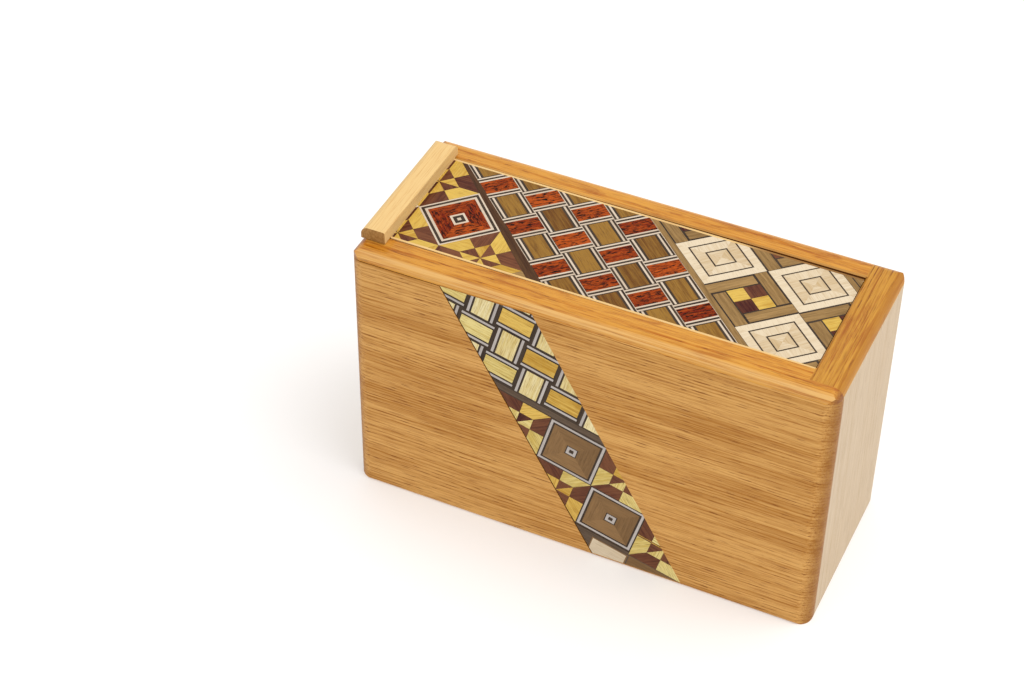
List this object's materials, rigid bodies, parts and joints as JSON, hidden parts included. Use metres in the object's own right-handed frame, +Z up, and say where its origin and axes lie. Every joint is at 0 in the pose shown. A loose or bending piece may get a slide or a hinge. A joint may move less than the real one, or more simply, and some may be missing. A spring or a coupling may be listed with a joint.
{
  "type": "wooden puzzle box",
  "caption": "Small wooden puzzle box with an inlaid sliding lid under a rounded rim, a grip bar on the lid, and a hidden key panel beside a slanted marquetry stripe.",
  "frame": {"origin": "centre of the base of the box", "axes": "+X along the length towards the right end, +Y from the key-panel face to the back, +Z up to the lid"},
  "size_m": [0.12, 0.05, 0.0764],
  "materials": {
    "face_wood": "satin, open-grained tan wood",
    "rim_wood": "waxed, orange-brown",
    "pale_wood": "satin, pale fine-grained",
    "end_wood": "satin, pale, fine upright grain",
    "inner_wood": "planed, plain",
    "dark_wood": "plain dark hardwood",
    "marquetry": "satin, pieced from contrasting woods"
  },
  "bodies": {
    "box": {"bottom_board": "inner_wood", "left_end_board": "end_wood", "right_end_board": "end_wood", "right_inner_board": "inner_wood", "back_board": "face_wood", "back_inner_board": "inner_wood", "front_panel": "face_wood", "front_stripe": "marquetry", "front_inner_board": "inner_wood", "front_rail": "rim_wood", "back_rail": "rim_wood", "right_rail": "rim_wood", "bolt_keeper": "pale_wood"},
    "key": {"key_panel": "face_wood", "key_runner": "pale_wood", "key_runner_pegs": "dark_wood"},
    "bolt": {"lock_bolt": "pale_wood", "bolt_pin": "dark_wood"},
    "lid": {"lid_board": "inner_wood", "lid_runner_front": "pale_wood", "lid_runner_back": "pale_wood", "lid_marquetry": "marquetry", "lid_edge_strip_front": "pale_wood", "lid_edge_strip_back": "pale_wood", "lid_bar": "pale_wood", "lid_bar_pegs": "dark_wood"}
  },
  "joints": [
    {"name": "key_slide", "type": "slide", "parent": "box", "child": "key", "axis": [-1, 0, 0], "range_m": [0, 0.006]},
    {"name": "bolt_drop", "type": "slide", "parent": "box", "child": "bolt", "axis": [0, 0, -1], "range_m": [0, 0.003]},
    {"name": "lid_slide", "type": "slide", "parent": "box", "child": "lid", "axis": [-1, 0, 0], "range_m": [0, 0.1]}
  ],
  "couplings": [
    {"joint": "bolt_drop", "follows": "key_slide", "ratio": 0.5}
  ]
}
